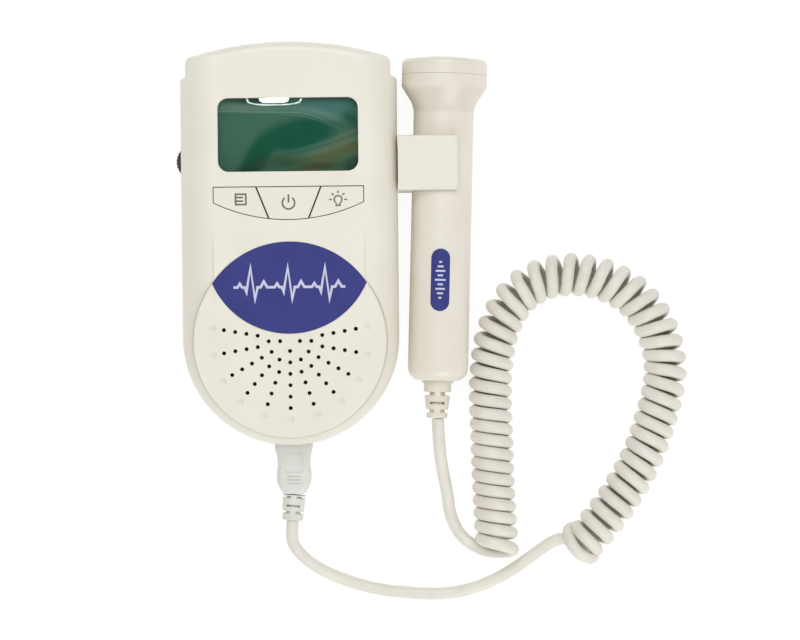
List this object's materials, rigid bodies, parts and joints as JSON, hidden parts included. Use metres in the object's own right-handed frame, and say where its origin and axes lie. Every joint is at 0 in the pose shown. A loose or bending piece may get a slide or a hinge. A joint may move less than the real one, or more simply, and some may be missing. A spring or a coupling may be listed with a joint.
{
  "type": "fetal doppler monitor",
  "caption": "Pocket ultrasound heartbeat monitor with a display window, keys and a speaker grille, a thumbwheel, a side clip that holds its probe, and a curly lead between probe and case.",
  "frame": {"origin": "middle of the case's flat back face, which lies on the table", "axes": "+X to the user's right, +Y to the top end of the case, +Z out of the display"},
  "size_m": [0.1724, 0.1891, 0.0322],
  "materials": {
    "case": "cream ABS with a fine satin texture",
    "case_screw": "zinc-plated steel",
    "cell": "plain dark sleeve",
    "contact": "nickel-plated steel",
    "window": "clear moulded window",
    "inner_plastic": "black moulding",
    "display_glass": "dark green liquid-crystal glass",
    "backlight": "milky light guide",
    "key": "cream rubber-feel plastic",
    "board": "green solder mask",
    "board_part": "black epoxy",
    "inner_screw": "plain steel",
    "label": "blue-violet film",
    "speaker_metal": "pressed steel",
    "gasket": "soft foam",
    "probe_plastic": "cream ABS, semi-gloss",
    "crystal": "ceramic",
    "plug_plastic": "light grey moulding",
    "relief_rubber": "cream flexible moulding",
    "lead_rubber": "cream flexible jacket"
  },
  "bodies": {
    "main_unit": {"battery_cell_left": "cell", "battery_cell_right": "cell", "battery_contacts": "contact", "battery_springs": "contact", "board_parts": "board_part", "board_screws": "inner_screw", "case_screws": "case_screw", "cord_coil": "lead_rubber", "cord_plug_tail": "lead_rubber", "cord_probe_tail": "lead_rubber", "display_backlight": "backlight", "display_frame": "inner_plastic", "display_module": "display_glass", "display_window": "window", "earphone_jack": "inner_plastic", "front_label": "label", "front_shell": "case", "key_switches": "inner_plastic", "main_board": "board", "plug_body": "plug_plastic", "plug_contacts": "contact", "plug_nose": "plug_plastic", "plug_relief": "relief_rubber", "probe_holder": "case", "probe_socket": "inner_plastic", "rear_shell": "case", "socket_contacts": "contact", "speaker_basket": "speaker_metal", "speaker_cone": "inner_plastic", "speaker_gasket": "gasket", "speaker_magnet": "speaker_metal", "volume_pot": "inner_plastic"},
    "cover": {"battery_cover": "case"},
    "mode_key": {"key_mode": "key"},
    "power_key": {"key_power": "key"},
    "light_key": {"key_light": "key"},
    "wheel": {"volume_wheel": "inner_plastic"},
    "probe": {"probe_shell": "probe_plastic", "probe_face": "probe_plastic", "probe_crystals": "crystal", "probe_backing": "gasket", "probe_board": "board", "probe_label": "label", "probe_relief": "relief_rubber"}
  },
  "joints": [
    {"name": "mode_key_press", "type": "slide", "parent": "main_unit", "child": "mode_key", "axis": [0, 0, -1], "range_m": [0, 0.0005], "stiffness_N_per_m": 1000},
    {"name": "power_key_press", "type": "slide", "parent": "main_unit", "child": "power_key", "axis": [0, 0, -1], "range_m": [0, 0.0005], "stiffness_N_per_m": 1000},
    {"name": "light_key_press", "type": "slide", "parent": "main_unit", "child": "light_key", "axis": [0, 0, -1], "range_m": [0, 0.0005], "stiffness_N_per_m": 1000},
    {"name": "volume_turn", "type": "hinge", "parent": "main_unit", "child": "wheel", "pos_m": [-0.0322, 0.0283, 0.0149], "axis": [0, 0, 1], "range_deg": [-140, 140]},
    {"name": "cover_slide", "type": "slide", "parent": "main_unit", "child": "cover", "axis": [0, 1, 0], "range_m": [0, 0.06]},
    {"name": "probe_lift", "type": "slide", "parent": "main_unit", "child": "probe", "axis": [0.033, 0.9995, 0], "range_m": [0, 0.083]}
  ]
}
